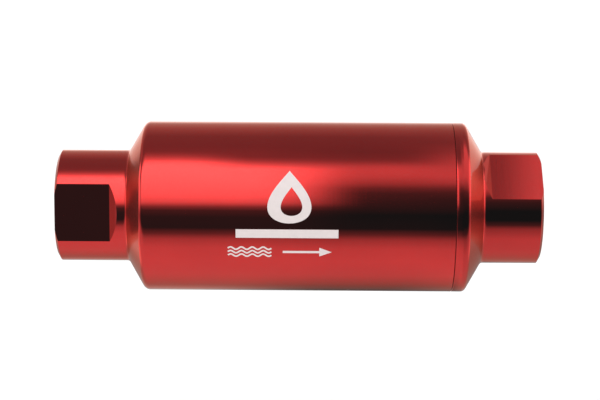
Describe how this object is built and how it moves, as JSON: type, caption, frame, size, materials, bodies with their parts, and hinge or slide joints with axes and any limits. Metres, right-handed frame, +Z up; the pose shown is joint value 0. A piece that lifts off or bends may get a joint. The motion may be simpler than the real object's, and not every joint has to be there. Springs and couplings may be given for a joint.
{
  "type": "fuel filter",
  "caption": "In-line fuel filter: a round anodised housing with a screwed outlet cap, threaded ports with wrench flats, and a sprung pleated mesh element inside.",
  "frame": {"origin": "on the filter's axis, midway between the inlet and outlet end faces", "axes": "+X along the flow, from the inlet to the outlet; +Z up; the inlet wrench flats face -Y and +Y"},
  "size_m": [0.1438, 0.0508, 0.0508],
  "materials": {
    "red_anodised": "bright-dipped and anodised red, fine turning marks",
    "clear_anodised": "clear anodised, turned",
    "stainless_steel": "plain mill finish",
    "spring_steel": "drawn wire",
    "fine_mesh": "fine woven wire",
    "support_mesh": "coarse woven wire",
    "black_rubber": "smooth moulded",
    "grey_epoxy": "cast resin"
  },
  "bodies": {
    "housing": {"housing": "red_anodised", "spring_washer": "stainless_steel"},
    "spring": {"spring": "spring_steel"},
    "element": {"inlet_end_plate": "clear_anodised", "outlet_end_plate": "clear_anodised", "element_o_ring": "black_rubber", "core_tube": "stainless_steel", "inner_support_mesh": "support_mesh", "filter_mesh": "fine_mesh", "outer_support_mesh": "support_mesh", "seam_clip": "stainless_steel", "inlet_potting": "grey_epoxy", "outlet_potting": "grey_epoxy"},
    "cap_seal": {"cap_o_ring": "black_rubber"},
    "outlet_cap": {"outlet_cap": "red_anodised"}
  },
  "joints": [
    {"name": "service_pull", "type": "slide", "parent": "housing", "child": "spring", "axis": [1, 0, 0], "range_m": [0, 0.11]},
    {"name": "element_float", "type": "slide", "parent": "spring", "child": "element", "axis": [1, 0, 0], "range_m": [-0.003, 0], "stiffness_N_per_m": 2080, "springref_m": 0.0068, "deforming": ["spring"]},
    {"name": "cap_travel", "type": "slide", "parent": "spring", "child": "cap_seal", "axis": [1, 0, 0], "range_m": [0, 0.0112]},
    {"name": "cap_turn", "type": "hinge", "parent": "cap_seal", "child": "outlet_cap", "pos_m": [0, 0, 0], "axis": [1, 0, 0], "range_deg": [0, 2520]}
  ],
  "couplings": [
    {"joint": "cap_travel", "follows": "cap_turn", "m_per_rad": 0.00025266}
  ]
}
